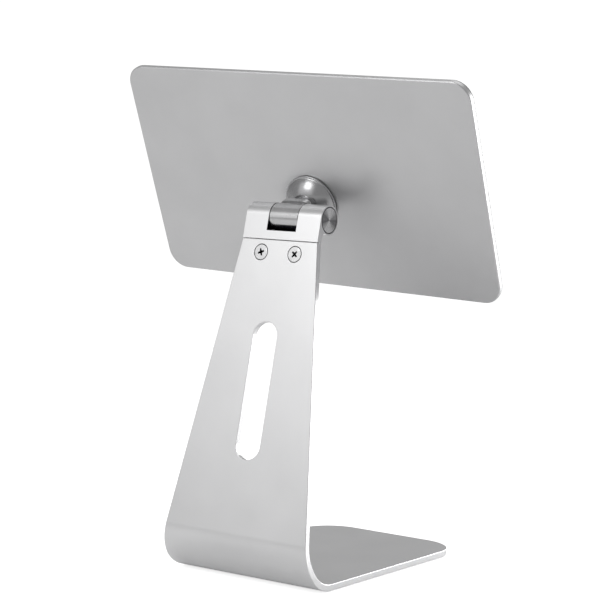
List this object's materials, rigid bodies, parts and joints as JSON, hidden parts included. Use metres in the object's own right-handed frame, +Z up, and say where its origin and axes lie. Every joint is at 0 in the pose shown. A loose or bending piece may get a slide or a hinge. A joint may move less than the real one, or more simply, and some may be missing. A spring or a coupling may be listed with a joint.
{
  "type": "tablet stand",
  "caption": "Desk stand for a tablet: bent metal foot and tapering slotted column, friction tilt hinge, and a swivelling magnetic plate.",
  "frame": {"origin": "on the desk, under the centre of the foot, in the plane of the grip pad's underside", "axes": "+Z up; -Y towards the side where the screen is, with the column's back on the +Y side; X across the stand, along the tilt hinge's axis"},
  "size_m": [0.2454, 0.1704, 0.3003],
  "materials": {
    "anodised_silver": "fine bead-blasted silver anodising",
    "satin_silver": "turned and satin anodised",
    "spun_disc": "spun concentric brushing",
    "screw_steel": "plated steel",
    "spring_steel": "oiled spring steel",
    "bearing_bronze": "sintered bronze",
    "magnet_nickel": "nickel plated",
    "black_liner": "soft matte with fine grain",
    "grip_rubber": "matte grip surface",
    "black_plastic": "matte acetal",
    "natural_plastic": "natural acetal"
  },
  "bodies": {
    "stand": {"stand_body": "anodised_silver", "base_pad": "grip_rubber", "hinge_block": "anodised_silver", "column_screws": "screw_steel", "hinge_axle": "screw_steel", "axle_washers": "screw_steel", "axle_springs": "spring_steel", "axle_nut": "screw_steel", "end_cap_left": "spun_disc", "end_cap_right": "spun_disc"},
    "arm": {"tilt_knuckle": "satin_silver", "knuckle_bush": "bearing_bronze", "side_washer_left": "black_plastic", "side_washer_right": "black_plastic", "swivel_dome": "satin_silver", "dome_ring": "black_plastic", "friction_disc": "natural_plastic", "swivel_bolt": "screw_steel", "bolt_washer": "screw_steel", "bolt_springs": "spring_steel"},
    "plate": {"swivel_flange": "screw_steel", "flange_screws": "screw_steel", "plate_tray": "anodised_silver", "plate_liner": "black_liner", "keeper_left": "spring_steel", "keeper_right": "spring_steel", "magnets_left": "magnet_nickel", "magnets_right": "magnet_nickel"}
  },
  "joints": [
    {"name": "plate_tilt", "type": "hinge", "parent": "stand", "child": "arm", "pos_m": [0, 0.03712, 0.21137], "axis": [-1, 0, 0], "range_deg": [-34.5, 65.5]},
    {"name": "plate_swivel", "type": "hinge", "parent": "arm", "child": "plate", "pos_m": [0, 0.017, 0.22054], "axis": [0, -0.91, 0.4147], "continuous": true}
  ]
}
